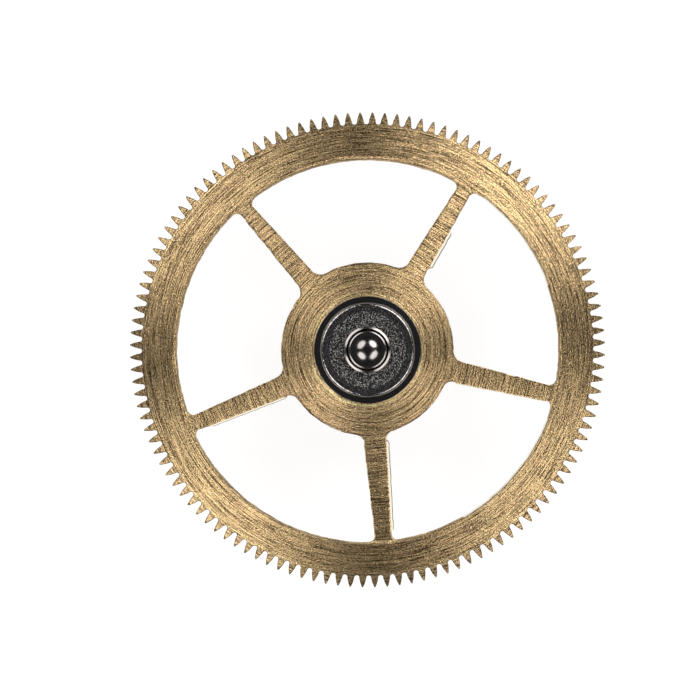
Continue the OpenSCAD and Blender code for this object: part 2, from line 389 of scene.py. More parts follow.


# %% [markdown]
# ## Edges and walls of the wheel
# Polishing leaves the teeth a round of about a hundredth of a millimetre. The windows' edges are
# wider and much flatter, as a file leaves them. Seen from above, such an edge is a fine line that is
# darker than the face, so every point on an edge carries a mark, and the brass reads it later as
# painted shade.
#
# On four spokes the file was held at a slant. The wall comes out from under the top face, and it
# was polished, so it shows from above as a pale band, which ends in a dark line where the wall
# turns away from the light; that line is painted shade. Two stretches of the rim's inner wall are
# polished too, but upright.
# Cutting each of them with a boolean would work, but a lean that fades in and out along the loop
# keeps the plate one closed surface.

# %% Lines down the wheel's walls
WHEEL_EDGE = 0.009
WINDOW_EDGE = 0.032
WINDOW_FLATNESS = 0.15
EDGE_STEPS = 3
FACE_MARGIN = 0.011
DARK_LINE_Z = [-0.045, -0.055]
tooth_levels = edge_levels(PLATE_TOP, -PLATE_TOP, WHEEL_EDGE, EDGE_STEPS, FACE_MARGIN)
insets, heights = edge_levels(
    PLATE_TOP, -PLATE_TOP, WINDOW_EDGE, EDGE_STEPS, FACE_MARGIN, WINDOW_FLATNESS
)
half_way = len(insets) // 2
insets = np.insert(insets, half_way, [0, 0])
heights = np.insert(heights, half_way, DARK_LINE_Z)
print("walls:", len(tooth_levels[0]), "lines down a tooth,", len(insets), "down a window")

# %% Lean and mark the filed walls
# Edge marks: how much painted shade, from none on a plain face to the most below the dark line; -1 is a
# polished wall.
PLAIN, EDGED, EDGE_SHADE, SHADED, POLISHED = 0, 0.6, 1, 2, -1
RIM_CLEAR = 0.05
FILED_FADE = 0.06
# From and to azimuth in degrees, from and to radius, and lean at the bottom, in mm.
FILED = [
    (60, 72, 2.12, 3.05, 0.070),
    (216, 228, 1.92, 3.68, 0.045),
    (288, 300, 1.90, 3.85, 0.062),
    (346, 360, 1.95, 3.80, 0.018),
    (33, 66, 3.9, 4.1, 0.0),
    (313, 352, 3.9, 4.1, 0.0),
]


def filed(loop):
    """How far each point's wall leans, and the marks down the wall. A filed stretch is a box of
    azimuth and radius, and its lean fades over a short way at both ends of the radius. Its marks
    start half way up the fade: polished below the upper round, painted shade from the dark line down."""
    radius = np.linalg.norm(loop, axis=1)
    azimuth = np.degrees(np.arctan2(loop[:, 1], loop[:, 0])) % 360
    start, end, inner, outer, size = (np.array(column)[:, None] for column in zip(*FILED))
    fade = np.clip((radius - inner) / FILED_FADE, 0, 1) * np.clip((outer - radius) / FILED_FADE, 0, 1)
    fade = fade * (azimuth > start) * (azimuth < end)
    lean, touched = (size * fade).max(0), fade.max(0) > 0.5
    marks = np.tile(np.where(radius < RIM_R - RIM_CLEAR, EDGED, PLAIN), (len(heights), 1))
    marks[:, touched] = PLAIN
    marks[half_way - 1 :, touched] = POLISHED
    # Painted shade: from the dark line down, a leaning wall is coloured near black.
    marks[half_way + 1 :, lean > 0] = SHADED
    return lean, marks


leans, window_marks = zip(*map(filed, windows))
print("filed walls lean up to", [round(float(lean.max()), 3) for lean in leans], "mm")

# %% [markdown]
# ## The brass wheel
# The plate is one piece, as the real one is cut from one sheet: toothed edge, five windows and the
# bore that sits on the pinion. Booleans could cut the windows and the bore out of a toothed disc,
# but here the points of all seven walls are also the points of the two flat faces, so the plate
# closes without a gap.

# %% Make the brass wheel
BORE_SIDES = 360
bore = arc([0, 0], SEAT_R, 360, 0, BORE_SIDES)[:-1]
brass_wheel = slab(
    "brass_wheel",
    [toothed_edge, *windows, bore],
    [tooth_levels, *((insets, heights, lean) for lean in leans), tooth_levels],
    [EDGE_SHADE, *window_marks, PLAIN],
)
print("wheel:", in_mm(brass_wheel.dimensions), "mm")

# %% [markdown]
# ## Turned pieces
# The pinion's body and the staff are turned on a lathe, and the script does the same: a profile of
# radius and height is carried round the axis. The Screw modifier could do it too, but a computed
# surface closes cleanly on the axis and needs no merging. The profile is written as corners, each
# with the radius that it is rounded by, because a lathe tool and polish leave no sharp corner.

# %% Helper for rounded corners
TINY = 1e-9
SAME_PLACE = 1e-7


def softened(corners, steps=6):
    """A profile whose corners are arcs: each corner (r, z, rounding) gives points on a circle that
    touches both of its lines, found from the unit vectors to its neighbours; rounding 0 stays."""
    corners = np.array(corners, float)
    place = corners[:, :2]
    back, ahead = np.roll(place, 1, 0) - place, np.roll(place, -1, 0) - place
    back /= np.linalg.norm(back, axis=1, keepdims=True)
    ahead /= np.linalg.norm(ahead, axis=1, keepdims=True)
    half = np.arccos(np.clip((back * ahead).sum(1), -1, 1)) / 2
    bisector = back + ahead
    bisector /= np.maximum(np.linalg.norm(bisector, axis=1, keepdims=True), TINY)
    centre = place + bisector * (corners[:, 2] / np.sin(half))[:, None]
    first = place + back * (corners[:, 2] / np.tan(half))[:, None] - centre
    last = place + ahead * (corners[:, 2] / np.tan(half))[:, None] - centre
    sweep = np.arctan2(first[:, 0] * last[:, 1] - first[:, 1] * last[:, 0], (first * last).sum(1))
    turn = np.exp(1j * sweep[:, None] * np.linspace(0, 1, steps + 1))
    centre, place = centre[:, 0] + 1j * centre[:, 1], place[:, 0] + 1j * place[:, 1]
    swept = (first[:, 0] + 1j * first[:, 1])[:, None] * turn + centre[:, None]
    swept = np.where(corners[:, 2:] > 0, swept, place[:, None]).ravel()
    kept = np.abs(swept - np.roll(swept, 1)) > SAME_PLACE
    return np.column_stack([swept.real, swept.imag])[kept]


print("one corner rounded:", softened([(0, 0, 0), (1, 0, 0.5), (1, 1, 0)], 2).round(3).tolist())


# %% Helper for turned pieces
def lathe(name, profile, segments):
    """A profile carried round the axis: (r cos a, r sin a, z). One that starts and ends on the axis
    is closed there by a fan; any other one is closed on itself, as a ring with a bore is."""
    on_axis = profile[0, 0] == 0
    rings = profile[1:-1] if on_axis else profile
    angle = np.linspace(0, 2 * np.pi, segments, endpoint=False)
    points = np.stack([
        np.outer(rings[:, 0], np.cos(angle)),
        np.outer(rings[:, 0], np.sin(angle)),
        np.repeat(rings[:, 1:], segments, axis=1),
    ], axis=-1).reshape(-1, 3)
    faces = strip(0, len(rings), segments)
    row = np.arange(segments)
    last = row + (len(rings) - 1) * segments
    if not on_axis:
        joint = np.column_stack([last, row, np.roll(row, -1), np.roll(last, -1)])
        return make_piece(name, points, [faces, joint], [])
    poles = np.array([[0, 0, profile[0, 1]], [0, 0, profile[-1, 1]]])
    top, bottom = np.full(segments, len(points)), np.full(segments, len(points) + 1)
    fans = np.concatenate([
        np.column_stack([top, row, np.roll(row, -1)]),
        np.column_stack([last, bottom, np.roll(last, -1)]),
    ])
    return make_piece(name, np.concatenate([points, poles]), [faces, fans], [])


print("three rings of four points are joined by", len(strip(0, 3, 4)), "quads")


# %% [markdown]
# ## The hollow pinion
# From above, the pinion shows as a dark disc. Its face is left grey from the turning tool, with a
# smooth lip round it. Inside is the bright countersink of the bore, and outside, a step lower, the
# polished ring that was hammered over to rivet the wheel. Below the wheel come the flange, the
# leaves and a small foot. The body is one turned profile; only the leaves need another way.

# %% Sizes of the steel pinion
LEAVES = 14
LEAF_ANGLE = 360 / LEAVES
LEAF_PITCH_R = 1.12
LEAF_ROOT_R = 0.83
LEAF_TIP_R = 1.225
LEAF_W = 0.2
LEAF_CHAMFER = 0.04
FLANGE_R = 1.36
BOSS_R = 0.98
BOSS_TOP = 0.305
LIP_W = 0.13
FACE_Z = 0.29
MOUTH_R = 0.48
MOUTH_INNER_R = 0.436
MOUTH_SLOPE = 16
FLANGE_TOP = -PLATE_TOP - 0.002
FLANGE_BOTTOM = -0.285
LEAF_BOTTOM = -1.685
FOOT_BOTTOM = -1.785
COLLAR_R = 0.78
BORE_R = 0.42
BORE_TAPER = 0.02
BORE_TOP = FACE_Z - 0.06
TAPER_TOP = FACE_Z - 0.03
print("pinion:", LEAVES, "leaves,", 2 * LEAF_TIP_R, "mm across, boss", 2 * BOSS_R, "mm")

# %% Rounds and gaps of the pinion
RIVET_PROUD = 0.004
SEAT_GAP = 0.003
CORE_GAP = 0.012
LIP_SLOPE_W = 0.0006
FOOT_CHAMFER = 0.045
BOSS_ROUND = 0.062
FLANGE_ROUND = 0.04
FLANGE_TOP_ROUND = 0.008
FOOT_ROUND = 0.02
RIVET_ROUND = 0.006
FINE_ROUND = 0.004
MOUTH_ROUND = 0.002
LIP_ROUND = 0.0004
print("pinion: edges rounded by", LIP_ROUND, "to", BOSS_ROUND, "mm")

# %% Make the pinion's body
PINION_SEGMENTS = 288
rivet_z = PLATE_TOP + RIVET_PROUD
rivet_r = SEAT_R - SEAT_GAP
core_r = LEAF_ROOT_R - CORE_GAP
mouth_drop = (MOUTH_R - MOUTH_INNER_R) * np.tan(np.radians(MOUTH_SLOPE))
foot_bore_r = BORE_R + BORE_TAPER * (TAPER_TOP - FOOT_BOTTOM)
pinion_body = lathe("pinion_body", softened([
    (BORE_R, BORE_TOP, FINE_ROUND),
    (MOUTH_INNER_R, FACE_Z - mouth_drop, MOUTH_ROUND),
    (MOUTH_R, FACE_Z, MOUTH_ROUND),
    (BOSS_R - LIP_W - LIP_SLOPE_W, FACE_Z, LIP_ROUND),
    (BOSS_R - LIP_W, BOSS_TOP, LIP_ROUND),
    (BOSS_R, BOSS_TOP, BOSS_ROUND),
    (BOSS_R, rivet_z, RIVET_ROUND),
    (rivet_r, rivet_z, RIVET_ROUND),
    (rivet_r, FLANGE_TOP, 0),
    (FLANGE_R, FLANGE_TOP, FLANGE_TOP_ROUND),
    (FLANGE_R, FLANGE_BOTTOM, FLANGE_ROUND),
    (core_r, FLANGE_BOTTOM, 0),
    (core_r, LEAF_BOTTOM + LEAF_CHAMFER, 0),
    (COLLAR_R, LEAF_BOTTOM + LEAF_CHAMFER, 0),
    (COLLAR_R, FOOT_BOTTOM, FOOT_ROUND),
    (foot_bore_r + FOOT_CHAMFER, FOOT_BOTTOM, FINE_ROUND),
    (foot_bore_r, FOOT_BOTTOM + FOOT_CHAMFER, FINE_ROUND),
]), PINION_SEGMENTS)
print("pinion's body:", in_mm(pinion_body.dimensions), "mm")

# %% [markdown]
# ## The leaves
# A pinion's teeth are called leaves. They have sides that point at the axis, round tops and filleted
# roots, and they are the hardest and best polished surface of the part. Booleans could cut the gaps
# between them out of the body, as the real cutter does, but a slab like the wheel rounds every edge
# cleanly. Its upper end is sunk into the flange.

# %% Make the pinion's leaves
LEAF_FLOOR_STEPS = 4
LEAF_FILLET_STEPS = 6
LEAF_TOP_STEPS = 12
LEAF_EDGE_STEPS = 5
LEAF_SINK = 0.02
LEAF_CORE_R = 0.7
LEAF_CORE_SIDES = 96


def leaf():
    """One leaf about +X: half a gap's floor, a fillet, a radial side and a round top, mirrored. The
    fillet's radius is a third of the leaf's width at its root."""
    root_w = LEAF_W * LEAF_ROOT_R / LEAF_PITCH_R
    fillet, top = root_w / 3, LEAF_W / 2
    fillet_angle = np.degrees((root_w / 2 + fillet) / LEAF_ROOT_R)
    half = np.concatenate([
        arc([0, 0], LEAF_ROOT_R, -LEAF_ANGLE / 2, -fillet_angle, LEAF_FLOOR_STEPS)[:-1],
        arc([LEAF_ROOT_R + fillet, -root_w / 2 - fillet], fillet, 180, 90, LEAF_FILLET_STEPS),
        arc([LEAF_TIP_R - top, 0], top, -90, 0, LEAF_TOP_STEPS),
    ])
    return np.concatenate([half, mirrored(half)[1:-1]])


leaf_edge = around(leaf(), LEAVES)
leaf_core = arc([0, 0], LEAF_CORE_R, 360, 0, LEAF_CORE_SIDES)[:-1]
leaf_levels = edge_levels(FLANGE_BOTTOM + LEAF_SINK, LEAF_BOTTOM, LEAF_CHAMFER, LEAF_EDGE_STEPS)
pinion_leaves = slab("pinion_leaves", [leaf_edge, leaf_core], [leaf_levels] * 2, [PLAIN] * 2)
print("leaves:", in_mm(pinion_leaves.dimensions), "mm")

# %% [markdown]
# ## The staff
# The staff's upper end is the small dome in the middle: a pivot whose end was burnished to a dome,
# with a fine bright bevel round it. Below the pinion it has a collar, the thick lower pivot and the
# long post that the cannon pinion and the minute hand sit on. It is turned like the pinion's body. A
# sphere could make the dome, but here the profile's own points keep it one surface with the bevel.

# %% Sizes of the steel staff
SHANK_R = 0.4
UPPER_PIVOT_R = 0.385
PIVOT_END_Z = 0.719
DOME_R = 0.359
DOME_BALL_R = 0.6
COLLAR_TOP = -1.795
COLLAR_BOTTOM = -1.935
LOWER_PIVOT_R = 0.6
LOWER_PIVOT_BOTTOM = -2.535
RELIEF = 0.03
POST_R = 0.42
POST_BOTTOM = -4.285
POST_ROUND = 0.12
DOME_TOP = PIVOT_END_Z - np.sqrt(DOME_BALL_R**2 - DOME_R**2) + DOME_BALL_R
print("staff: from", POST_BOTTOM, "to", round(float(DOME_TOP), 3), "mm on the axis")

# %% Rounds of the staff
BEVEL_W = 0.006
BEVEL_ROUND = 0.004
BEVEL_SLOPE = 16
BEVEL_TOP = PIVOT_END_Z - 0.0005
COLLAR_TOP_ROUND = 0.02
COLLAR_BOTTOM_ROUND = 0.025
RELIEF_ROUND = 0.008
LOWER_PIVOT_ROUND = 0.03
POST_SHOULDER_ROUND = 0.012
print("staff: edges rounded by", BEVEL_ROUND, "to", POST_ROUND, "mm")

# %% Make the staff
DOME_STEPS = 24
STAFF_ROUND_STEPS = 8
STAFF_SEGMENTS = 240
dome_edge = np.degrees(np.arcsin(DOME_R / DOME_BALL_R))
dome = arc([0, DOME_TOP - DOME_BALL_R], DOME_BALL_R, 90, 90 - dome_edge, DOME_STEPS)
dome[0, 0] = 0
below_dome = softened([
    (0, 0, 0),
    (UPPER_PIVOT_R - BEVEL_W, BEVEL_TOP, 0),
    (UPPER_PIVOT_R, BEVEL_TOP - BEVEL_W * np.tan(np.radians(BEVEL_SLOPE)), BEVEL_ROUND),
    (UPPER_PIVOT_R, FACE_Z, FINE_ROUND),
    (SHANK_R, TAPER_TOP, FINE_ROUND),
    (SHANK_R + BORE_TAPER * (TAPER_TOP - COLLAR_TOP), COLLAR_TOP, FINE_ROUND),
    (COLLAR_R, COLLAR_TOP, COLLAR_TOP_ROUND),
    (COLLAR_R, COLLAR_BOTTOM, COLLAR_BOTTOM_ROUND),
    (LOWER_PIVOT_R - RELIEF, COLLAR_BOTTOM, FINE_ROUND),
    (LOWER_PIVOT_R, COLLAR_BOTTOM - RELIEF, RELIEF_ROUND),
    (LOWER_PIVOT_R, LOWER_PIVOT_BOTTOM, LOWER_PIVOT_ROUND),
    (POST_R, LOWER_PIVOT_BOTTOM, POST_SHOULDER_ROUND),
    (POST_R, POST_BOTTOM, POST_ROUND),
    (0, POST_BOTTOM, 0),
], STAFF_ROUND_STEPS)[1:]
staff = lathe("staff", np.concatenate([dome, below_dome]), STAFF_SEGMENTS)
print("staff:", in_mm(staff.dimensions), "mm")

# %% [markdown]
# ## Tie the pieces to the frame
# Each piece stands for a node of the frame and moves with that node's body.

# %% Stand in for the frame's nodes
for piece, body, node, slot in (
    (brass_wheel, "wheel", "wheel_plate", "wheel_brass"),
    (pinion_body, "wheel", "centre_pinion", "pinion_steel"),
    (pinion_leaves, "wheel", "centre_pinion", "pinion_steel"),
    (staff, "staff", "centre_staff", "staff_steel"),
):
    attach(piece, body)
    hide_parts(node)
    low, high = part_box(node)
    print(piece.name, "stands for", node, "between z", *in_mm([low.z, high.z]), "mm")

# %% [markdown]
# ## Turned and lapped surfaces
# A wheel is finished by holding it against an abrasive while it spins, and a pinion is turned, so
# all the fine lines on this part run in circles. An image could show them, but it would have to be
# as large as the part under a lens. A noise texture does it at any size, if its coordinates are
# bent: distance from the axis is divided by a small length, the fineness of the lines, and the
# place itself by a longer one, the length of an arc before it fades. All three finishes use the
# effect, so it is a node group.


# %% Helpers for nodes
def add_node(tree, kind, inputs=None, **settings):
    """Adds a shader node, sets its properties, and joins or sets each of the named inputs."""
    made = tree.nodes.new(kind)
    for name, value in settings.items():
        setattr(made, name, value)
    for name, value in (inputs or {}).items():
        if isinstance(value, bpy.types.NodeSocket):
            tree.links.new(value, made.inputs[name])
        else:
            made.inputs[name].default_value = value
    return made


def reckoned(tree, operation, *values, **settings):
    """The result of a Math node for up to three values."""
    inputs = dict(enumerate(values))
    return add_node(tree, "ShaderNodeMath", inputs, operation=operation, **settings).outputs[0]


def new_group(name, inputs, outputs):
    """A shader node group with named sockets, and its input and output nodes."""
    group = bpy.data.node_groups.new(name, "ShaderNodeTree")
    for title, kind, value in inputs:
        socket = group.interface.new_socket(name=title, in_out="INPUT", socket_type=kind)
        if value is not None:
            socket.default_value = value
    for title in outputs:
        group.interface.new_socket(name=title, in_out="OUTPUT", socket_type="NodeSocketFloat")
    return group, group.nodes.new("NodeGroupInput"), group.nodes.new("NodeGroupOutput")


def new_material(name):
    """A new material, its node tree and its Principled shader."""
    material = bpy.data.materials.new(name)
    material.use_nodes = True
    tree = material.node_tree
    return material, tree, tree.nodes["Principled BSDF"]


print("ready: add_node, reckoned, new_group, new_material")


# %% Group: circular grain
NOISE_ROUGHNESS = 0.6
HEIGHT_SHARE = 0.5
circular_grain, grain_in, grain_out = new_group(
    "circular_grain",
    [
        ("Vector", "NodeSocketVector", None),
        ("Line Width mm", "NodeSocketFloat", 0.05),
        ("Arc Length mm", "NodeSocketFloat", 0.4),
        ("Detail", "NodeSocketFloat", 2.0),
    ],
    ["Grain", "Radius mm", "Height mm"],
)
tree = circular_grain
width, length = grain_in.outputs["Line Width mm"], grain_in.outputs["Arc Length mm"]
scaled = add_node(tree, "ShaderNodeVectorMath",
                  {0: grain_in.outputs["Vector"], "Scale": 1 / MM}, operation="SCALE")
xyz = add_node(tree, "ShaderNodeSeparateXYZ", {"Vector": scaled.outputs["Vector"]})
x, y, z = (xyz.outputs[axis] for axis in "XYZ")
flat = add_node(tree, "ShaderNodeCombineXYZ", {"X": x, "Y": y}).outputs["Vector"]
off_axis = add_node(tree, "ShaderNodeVectorMath", {0: flat}, operation="LENGTH")
off_axis = off_axis.outputs["Value"]
ring = reckoned(tree, "MULTIPLY_ADD", z, HEIGHT_SHARE, off_axis)
bent = add_node(tree, "ShaderNodeCombineXYZ", {
    "X": reckoned(tree, "DIVIDE", ring, width),
    "Y": reckoned(tree, "DIVIDE", x, length),
    "Z": reckoned(tree, "DIVIDE", y, length),
})
grain_noise = add_node(tree, "ShaderNodeTexNoise", {
    "Vector": bent.outputs["Vector"], "Scale": 1.0, "Detail": grain_in.outputs["Detail"],
    "Roughness": NOISE_ROUGHNESS,
})
tree.links.new(grain_noise.outputs["Fac"], grain_out.inputs["Grain"])
tree.links.new(off_axis, grain_out.inputs["Radius mm"])
tree.links.new(z, grain_out.inputs["Height mm"])
print("group", tree.name, "with", len(tree.nodes), "nodes")


# %% Helpers for numbers in a material
def grain(tree, place, width, length, detail=0.0):
    """The circular grain with lines of that width and arcs of that length, in mm."""
    sizes = {"Vector": place, "Line Width mm": width, "Arc Length mm": length, "Detail": detail}
    return add_node(tree, "ShaderNodeGroup", sizes, node_tree=circular_grain)


def graded(tree, value, start, end, low, high):
    """A number that goes from low to high while the value goes from start to end, and no further."""
    return add_node(tree, "ShaderNodeMapRange", {
        "Value": value, "From Min": start, "From Max": end, "To Min": low, "To Max": high,
    }).outputs["Result"]


def faded(tree, value, start, end):
    """A mask from 0 at start to 1 at end, for a falling slope too."""
    return graded(tree, value, start, end, 0, 1)


def both(tree, first, second):
    """Two masks multiplied."""
    return reckoned(tree, "MULTIPLY", first, second)


def mixed(tree, share, first, second):
    """Two numbers mixed: first (1 - share) + second share."""
    return add_node(tree, "ShaderNodeMix", {"Factor": share, "A": first, "B": second}).outputs["Result"]


print("ready: grain, graded, faded, both, mixed")


# %% Helpers for colour and relief in a material
def ramp(tree, value, stops):
    """A colour ramp: grey or coloured stops at places from 0 to 1."""
    made = add_node(tree, "ShaderNodeValToRGB", {"Fac": value})
    elements = made.color_ramp.elements
    while len(elements) < len(stops):
        elements.new(0.5)
    for element, (place, colour) in zip(elements, stops):
        element.position = place
        element.color = (*colour, 1) if hasattr(colour, "__len__") else (colour, colour, colour, 1)
    return made.outputs["Color"]


def mixed_colour(tree, share, first, second, blend="MIX"):
    """Two colours mixed in the same way, or multiplied by each other. A Mix node has its sockets for
    each kind of value side by side, and numbers 6, 7 and 2 are those for colours."""
    inputs = {0: share, 6: first, 7: second}
    return add_node(tree, "ShaderNodeMix", inputs, data_type="RGBA", blend_type=blend).outputs[2]


def bumped(tree, height, depth):
    """A normal that follows a height of 0 to 1, whose 1 stands for that depth in mm."""
    inputs = {"Height": height, "Strength": 1.0, "Distance": depth * MM}
    return add_node(tree, "ShaderNodeBump", inputs).outputs["Normal"]


def pale_line(tree, distance, place, lift, fade):
    """A tone of 1 that rises by a lift at one distance from the axis, and fades to both sides."""
    off = reckoned(tree, "ABSOLUTE", reckoned(tree, "SUBTRACT", distance, place))
    return graded(tree, off, 0.0, fade, 1 + lift, 1.0)


print("ready: ramp, mixed_colour, bumped, pale_line")


# %% [markdown]
# ## Brass
# The wheel is plain lapped brass. The lines are fine grooves, so light spreads across them and not
# along them: four lamps give four bright sectors that stay where they are while the wheel turns.
# The Principled shader does that with Anisotropic and a tangent that runs round the axis. The lines
# themselves also vary in tone, from the dark of a groove to the pale of a burnished crest. Four
# noises make them: fine arcs, a few long lines, which are rarer on the narrow spokes, flecks where
# a line breaks off, and a grit below the eye's reach that only roughens the surface.

# %% Lines of the brass
# Line width and arc length, in mm.
FINE_LINES = (0.0105, 0.45)
LONG_LINES = (0.0115, 4.0)
FLECKS = (0.019, 0.030)
GRIT = (0.014, 0.009)
LONG_SHARE = 0.4
LONG_SHARE_ON_SPOKE = 0.12
FLECK_SHARE = 0.38
HUB_FADE = 0.1
brass, tree, shader = new_material("lapped_brass")
place = add_node(tree, "ShaderNodeTexCoord").outputs["Object"]
fine, broad = grain(tree, place, *FINE_LINES), grain(tree, place, *LONG_LINES)
flecks, grit = grain(tree, place, *FLECKS), grain(tree, place, *GRIT)
radius = fine.outputs["Radius mm"]
off_hub = faded(tree, radius, HUB_R, HUB_R + HUB_FADE)
off_rim = faded(tree, radius, RIM_R, RIM_R - RIM_CLEAR)
long_share = graded(tree, both(tree, off_hub, off_rim), 0, 1, LONG_SHARE, LONG_SHARE_ON_SPOKE)
lines = mixed(tree, long_share, fine.outputs["Grain"], broad.outputs["Grain"])
lines = mixed(tree, FLECK_SHARE, lines, flecks.outputs["Grain"])
print("brass: lines", FINE_LINES[0], "mm wide, arcs of", FINE_LINES[1], "and", LONG_LINES[1], "mm")

# %% [markdown]
# The tone of the face is a tint, reddish or greenish along each long line, times the light of the
# line. A polished wall takes the colour of bare brass instead. The marked edges darken it with
# painted shade, and two pale circles of painted highlight, at the roots of the teeth and round the
# bore, lift it. The circles need only a distance from the axis, but the edges follow no formula, so
# they are read from the mesh's own attribute.

# %% Colour of the brass
# The grain, and the light or the tint there.
LINE_LIGHT = [(0.415, 0.09), (0.50, 0.55), (0.585, 1.0)]
LINE_TINT = [(0.40, (1.0, 0.69, 0.38)), (0.60, (0.95, 0.715, 0.37))]
WALL_BRASS = (0.97, 0.88, 0.69, 1)
# A mark of EDGE_FULL or more paints the edge's shade down to EDGE_DARK.
EDGE_FULL = 1.8
EDGE_DARK = 0.01
# Two pale circles of painted highlight, at the roots of the teeth and round the bore.
# Distance from the axis in mm, lift of the tone, and how far it fades to each side in mm.
ROOT_LINE = (4.64, 0.25, 0.03)
BORE_LINE = (1.165, 0.45, 0.06)
tint = ramp(tree, broad.outputs["Grain"], LINE_TINT)
tone = mixed_colour(tree, 1.0, tint, ramp(tree, lines, LINE_LIGHT), "MULTIPLY")
edge = add_node(tree, "ShaderNodeAttribute", attribute_name="edge").outputs["Fac"]
on_polished_wall = faded(tree, edge, PLAIN, POLISHED)
tone = mixed_colour(tree, on_polished_wall, tone, WALL_BRASS)
# The marked edges get painted shade.
tone = mixed_colour(tree, 1.0, tone, graded(tree, edge, 0, EDGE_FULL, 1.0, EDGE_DARK), "MULTIPLY")
# Painted highlight: the two pale circles lift the tone.
lift = both(tree, pale_line(tree, radius, *ROOT_LINE), pale_line(tree, radius, *BORE_LINE))
highlit = add_node(tree, "ShaderNodeVectorMath", {0: tone, "Scale": lift}, operation="SCALE")
tree.links.new(highlit.outputs["Vector"], shader.inputs["Base Color"])
print("brass: burnished circles at", ROOT_LINE[0], "and", BORE_LINE[0], "mm from the axis")

# %% [markdown]
# Grooves are dull and crests shine. The grit could be real dents in the mesh, but they would take
# millions of faces, and a Bump node tilts the light just as well. On the real wheel a narrow band at
# the rim's inner edge is the roughest, so the grit is deepest there, and there is none on the
# polished walls.

# %% Shine and relief of the brass
# The grain from and to, and the roughness from and to.
DULL_LINES = (0.4, 0.6, 0.42, 0.24)
WALL_ROUGHNESS = 0.1
GRIT_HEIGHT = 0.0035
GRIT_REACH = 5.0
# Distance from the axis in mm, and share of the grit's height.
GRIT_DEPTH = [
    (HUB_R, 0.52),
    (RIM_R - 0.06, 0.38),
    (RIM_R + 0.01, 0.75),
    (RIM_R + 0.03, 0.75),
    (RIM_R + 0.06, 0.37),
]
dull = mixed(tree, on_polished_wall, graded(tree, lines, *DULL_LINES), WALL_ROUGHNESS)
tree.links.new(dull, shader.inputs["Roughness"])
share_of_reach = reckoned(tree, "DIVIDE", radius, GRIT_REACH)
depth = ramp(tree, share_of_reach, [(r / GRIT_REACH, share) for r, share in GRIT_DEPTH])
depth = both(tree, depth, faded(tree, edge, POLISHED, PLAIN))
relief = bumped(tree, both(tree, grit.outputs["Grain"], depth), GRIT_HEIGHT)
tree.links.new(relief, shader.inputs["Normal"])
round_axis = add_node(tree, "ShaderNodeTangent", direction_type="RADIAL", axis="Z")
tree.links.new(round_axis.outputs["Tangent"], shader.inputs["Tangent"])
shader.inputs["Metallic"].default_value = 0.95
shader.inputs["Anisotropic"].default_value = 0.95
shader.inputs["Anisotropic Rotation"].default_value = 0.25
print(brass.name, "has", len(tree.nodes), "nodes")

# %% [markdown]
# ## Steel
# Hardened steel that is polished flat looks black under a ring of lamps, because it mirrors the dark
# lens above it, and only its sloping edges mirror a lamp. The face of the boss is left from the
# tool instead, so it sparkles with fine specks. It could have a material of its own, but the pinion
# has one slot, so a mask finds the tooled face by its distance from the axis and its height.

# %% Places on the pinion
# Line width and arc length of the specks, in mm.
SPECKS = (0.016, 0.028)
TOP_MASK = (BORE_TOP, FACE_Z - 0.05)
FACE_EDGE = 0.004
SPECK_R = 0.785
SPECK_FADE = 0.02
CALM_SHARE = 0.4
pinion_steel, tree, shader = new_material("pinion_steel")
place = add_node(tree, "ShaderNodeTexCoord").outputs["Object"]
specks = grain(tree, place, *SPECKS)
distance, level = specks.outputs["Radius mm"], specks.outputs["Height mm"]
lip_start = BOSS_R - BOSS_ROUND
on_top = faded(tree, level, *TOP_MASK)
off_mouth = faded(tree, distance, MOUTH_R, MOUTH_R + FACE_EDGE)
before_lip = faded(tree, distance, lip_start, lip_start - FACE_EDGE)
on_face = both(tree, both(tree, off_mouth, before_lip), on_top)
in_mouth = both(tree, faded(tree, distance, MOUTH_R + FACE_EDGE, MOUTH_R), on_top)
on_lip = both(tree, faded(tree, distance, lip_start - FACE_EDGE, lip_start), on_top)
speckled = graded(tree, distance, SPECK_R + SPECK_FADE, SPECK_R - SPECK_FADE, CALM_SHARE, 1)
print("pinion: face from", MOUTH_R, "to", round(lip_start, 3), "mm, specks to", SPECK_R, "mm")

# %% Make the pinion's steel
STEEL_POLISHED = (0.37, 0.363, 0.37, 1)
MOUTH_HIGHLIGHT = (0.98, 0.95, 0.94, 1)
FACE_TONES = [
    (0.50, (0.018, 0.018, 0.021)),
    (0.60, (0.07, 0.07, 0.074)),
    (0.70, (0.48, 0.48, 0.465)),
]
CALM_GRAIN = 0.53
LIP_DOTS = 0.7
SPECK_HEIGHT = 0.0036
FACE_ROUGHNESS = (0.12, 0.45)
tooled = ramp(tree, mixed(tree, speckled, CALM_GRAIN, specks.outputs["Grain"]), FACE_TONES)
# The countersink's near-white colour is painted highlight, on top of the lamps that its polished slope
# mirrors.
polished = mixed_colour(tree, in_mouth, STEEL_POLISHED, MOUTH_HIGHLIGHT)
tree.links.new(mixed_colour(tree, on_face, polished, tooled), shader.inputs["Base Color"])
dots = reckoned(tree, "MULTIPLY_ADD", on_lip, LIP_DOTS, both(tree, on_face, speckled))
relief = bumped(tree, both(tree, specks.outputs["Grain"], dots), SPECK_HEIGHT)
tree.links.new(relief, shader.inputs["Normal"])
tree.links.new(graded(tree, on_face, 0, 1, *FACE_ROUGHNESS), shader.inputs["Roughness"])
shader.inputs["Metallic"].default_value = 1.0
print(pinion_steel.name, "has", len(tree.nodes), "nodes")

# %% [markdown]
# The staff is burnished all over. A dome mirrors everything above it at once, so it shows all four
# lamps as spots. A plain mirror would look drawn, so faint turning lines vary its tone and shine.

# %% Make the staff's steel
# Line width and arc length in mm, and detail.
STAFF_LINES = (0.03, 0.8, 2.0)
STAFF_TONES = [(0.3, (0.18, 0.17, 0.173)), (0.7, (0.25, 0.24, 0.242))]
